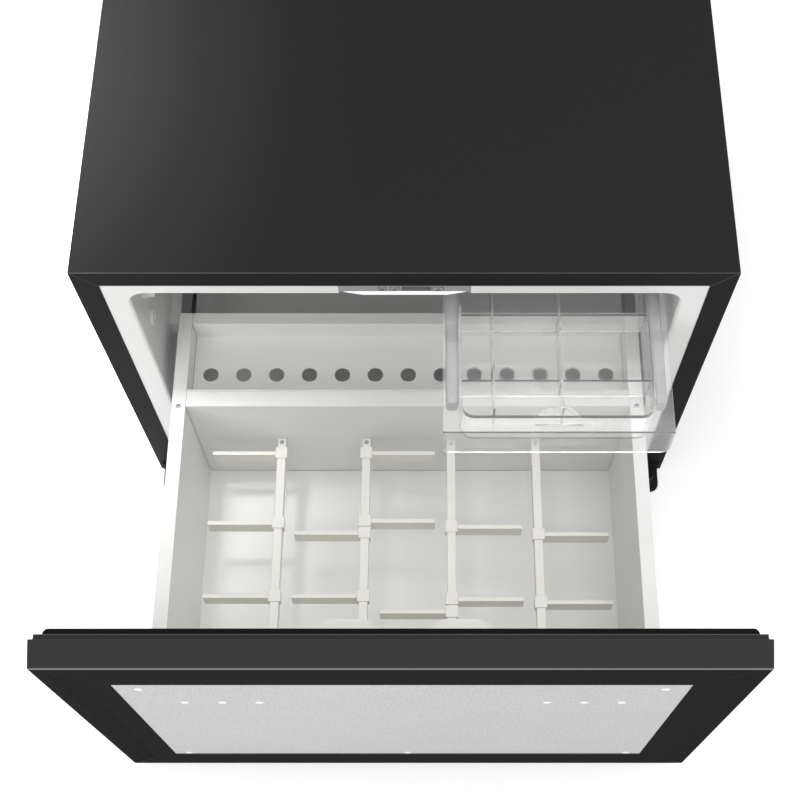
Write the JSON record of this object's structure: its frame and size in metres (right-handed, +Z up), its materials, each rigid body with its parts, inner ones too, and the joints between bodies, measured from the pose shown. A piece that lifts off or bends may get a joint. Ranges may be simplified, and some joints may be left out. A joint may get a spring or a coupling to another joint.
{
  "type": "drawer minibar cabinet",
  "caption": "Built-in hotel minibar: black steel cooling cabinet with a pull-out insulated drawer, sliding dividers, a clear upper tray on rails and a control strip.",
  "frame": {"origin": "middle of the cabinet's base, on the underside of the base pan", "axes": "+X to the right seen from the front, +Y from the drawer front into the cabinet, +Z up"},
  "size_m": [0.55, 0.7968, 0.42],
  "materials": {
    "black_steel": "satin",
    "black_profile": "satin",
    "white_liner": "satin",
    "white_sheet": "satin",
    "cream_plastic": "satin",
    "grey_panel": "satin",
    "grey_plastic": "satin",
    "dark_plastic": "gloss",
    "lamp_white": "gloss",
    "gasket_rubber": "matte",
    "foam": "matte",
    "zinc_steel": "satin",
    "clear_plastic": "gloss",
    "black_machine": "satin"
  },
  "bodies": {
    "cabinet": {"top_panel": "black_steel", "left_side_panel": "black_steel", "right_side_panel": "black_steel", "rear_cover": "black_steel", "base_pan": "black_steel", "fixing_tab_left": "black_steel", "fixing_tab_right": "black_steel", "inner_liner": "white_liner", "tray_rail_left": "white_liner", "tray_rail_right": "white_liner", "control_housing": "grey_plastic", "electronics_box": "grey_plastic", "display_window": "dark_plastic", "mains_inlet": "dark_plastic", "lamp_lens": "lamp_white", "foam_insulation": "foam", "slide_outer_left": "zinc_steel", "slide_outer_right": "zinc_steel", "evaporator_plate": "zinc_steel", "compressor": "black_machine", "condenser_coil": "black_machine"},
    "drawer": {"front_frame_top": "black_profile", "front_frame_right": "black_profile", "front_frame_bottom": "black_profile", "front_frame_left": "black_profile", "front_panel": "grey_panel", "front_foam": "foam", "front_inner_plate": "black_profile", "gasket": "gasket_rubber", "drawer_side_left": "white_sheet", "drawer_side_right": "white_sheet", "drawer_floor": "white_sheet", "drawer_partition": "white_sheet", "rear_shelf": "white_sheet", "drawer_front_wall": "cream_plastic", "slide_inner_left": "zinc_steel", "slide_inner_right": "zinc_steel", "divider_bar_1": "cream_plastic", "divider_bar_2": "cream_plastic", "divider_bar_3": "cream_plastic", "divider_bar_4": "cream_plastic"},
    "slide_left": {"slide_middle_left": "zinc_steel"},
    "slide_right": {"slide_middle_right": "zinc_steel"},
    "tray": {"upper_tray": "clear_plastic", "tray_dividers": "clear_plastic"},
    "power_button": {"power_button": "grey_plastic"},
    "down_button": {"down_button": "grey_plastic"},
    "up_button": {"up_button": "grey_plastic"},
    "divider_clip_1_back": {"divider_clip_1_back": "cream_plastic"},
    "divider_clip_1_middle": {"divider_clip_1_middle": "cream_plastic"},
    "divider_clip_1_front": {"divider_clip_1_front": "cream_plastic"},
    "divider_clip_2_back": {"divider_clip_2_back": "cream_plastic"},
    "divider_clip_2_middle_right": {"divider_clip_2_middle_right": "cream_plastic"},
    "divider_clip_2_middle_left": {"divider_clip_2_middle_left": "cream_plastic"},
    "divider_clip_2_front": {"divider_clip_2_front": "cream_plastic"},
    "divider_clip_3_middle": {"divider_clip_3_middle": "cream_plastic"},
    "divider_clip_3_front_right": {"divider_clip_3_front_right": "cream_plastic"},
    "divider_clip_3_front_left": {"divider_clip_3_front_left": "cream_plastic"},
    "divider_clip_4_middle": {"divider_clip_4_middle": "cream_plastic"},
    "divider_clip_4_front": {"divider_clip_4_front": "cream_plastic"}
  },
  "joints": [
    {"name": "drawer_slide", "type": "slide", "parent": "cabinet", "child": "drawer", "axis": [0, 1, 0], "range_m": [0, 0.292]},
    {"name": "slide_left_run", "type": "slide", "parent": "cabinet", "child": "slide_left", "axis": [0, 1, 0], "range_m": [0, 0.147]},
    {"name": "slide_right_run", "type": "slide", "parent": "cabinet", "child": "slide_right", "axis": [0, 1, 0], "range_m": [0, 0.147]},
    {"name": "tray_slide", "type": "slide", "parent": "cabinet", "child": "tray", "axis": [0, 1, 0], "range_m": [0, 0.15]},
    {"name": "power_press", "type": "slide", "parent": "cabinet", "child": "power_button", "axis": [0, 1, 0], "range_m": [0, 0.0008], "stiffness_N_per_m": 400},
    {"name": "down_press", "type": "slide", "parent": "cabinet", "child": "down_button", "axis": [0, 1, 0], "range_m": [0, 0.0008], "stiffness_N_per_m": 400},
    {"name": "up_press", "type": "slide", "parent": "cabinet", "child": "up_button", "axis": [0, 1, 0], "range_m": [0, 0.0008], "stiffness_N_per_m": 400},
    {"name": "divider_clip_1_back_slide", "type": "slide", "parent": "drawer", "child": "divider_clip_1_back", "axis": [0, 1, 0], "range_m": [-0.025, 0.008]},
    {"name": "divider_clip_1_middle_slide", "type": "slide", "parent": "drawer", "child": "divider_clip_1_middle", "axis": [0, 1, 0], "range_m": [-0.025, 0.025]},
    {"name": "divider_clip_1_front_slide", "type": "slide", "parent": "drawer", "child": "divider_clip_1_front", "axis": [0, 1, 0], "range_m": [-0.025, 0.025]},
    {"name": "divider_clip_2_back_slide", "type": "slide", "parent": "drawer", "child": "divider_clip_2_back", "axis": [0, 1, 0], "range_m": [-0.025, 0.008]},
    {"name": "divider_clip_2_middle_right_slide", "type": "slide", "parent": "drawer", "child": "divider_clip_2_middle_right", "axis": [0, 1, 0], "range_m": [0, 0.025]},
    {"name": "divider_clip_2_middle_left_slide", "type": "slide", "parent": "drawer", "child": "divider_clip_2_middle_left", "axis": [0, 1, 0], "range_m": [-0.025, 0]},
    {"name": "divider_clip_2_front_slide", "type": "slide", "parent": "drawer", "child": "divider_clip_2_front", "axis": [0, 1, 0], "range_m": [-0.025, 0.025]},
    {"name": "divider_clip_3_middle_slide", "type": "slide", "parent": "drawer", "child": "divider_clip_3_middle", "axis": [0, 1, 0], "range_m": [-0.025, 0.025]},
    {"name": "divider_clip_3_front_right_slide", "type": "slide", "parent": "drawer", "child": "divider_clip_3_front_right", "axis": [0, 1, 0], "range_m": [0, 0.025]},
    {"name": "divider_clip_3_front_left_slide", "type": "slide", "parent": "drawer", "child": "divider_clip_3_front_left", "axis": [0, 1, 0], "range_m": [-0.025, 0]},
    {"name": "divider_clip_4_middle_slide", "type": "slide", "parent": "drawer", "child": "divider_clip_4_middle", "axis": [0, 1, 0], "range_m": [-0.025, 0.025]},
    {"name": "divider_clip_4_front_slide", "type": "slide", "parent": "drawer", "child": "divider_clip_4_front", "axis": [0, 1, 0], "range_m": [-0.025, 0.025]}
  ],
  "couplings": [
    {"joint": "slide_left_run", "follows": "drawer_slide", "ratio": 0.5},
    {"joint": "slide_right_run", "follows": "drawer_slide", "ratio": 0.5},
    {"joint": "tray_slide", "follows": "drawer_slide", "ratio": 0.51}
  ]
}
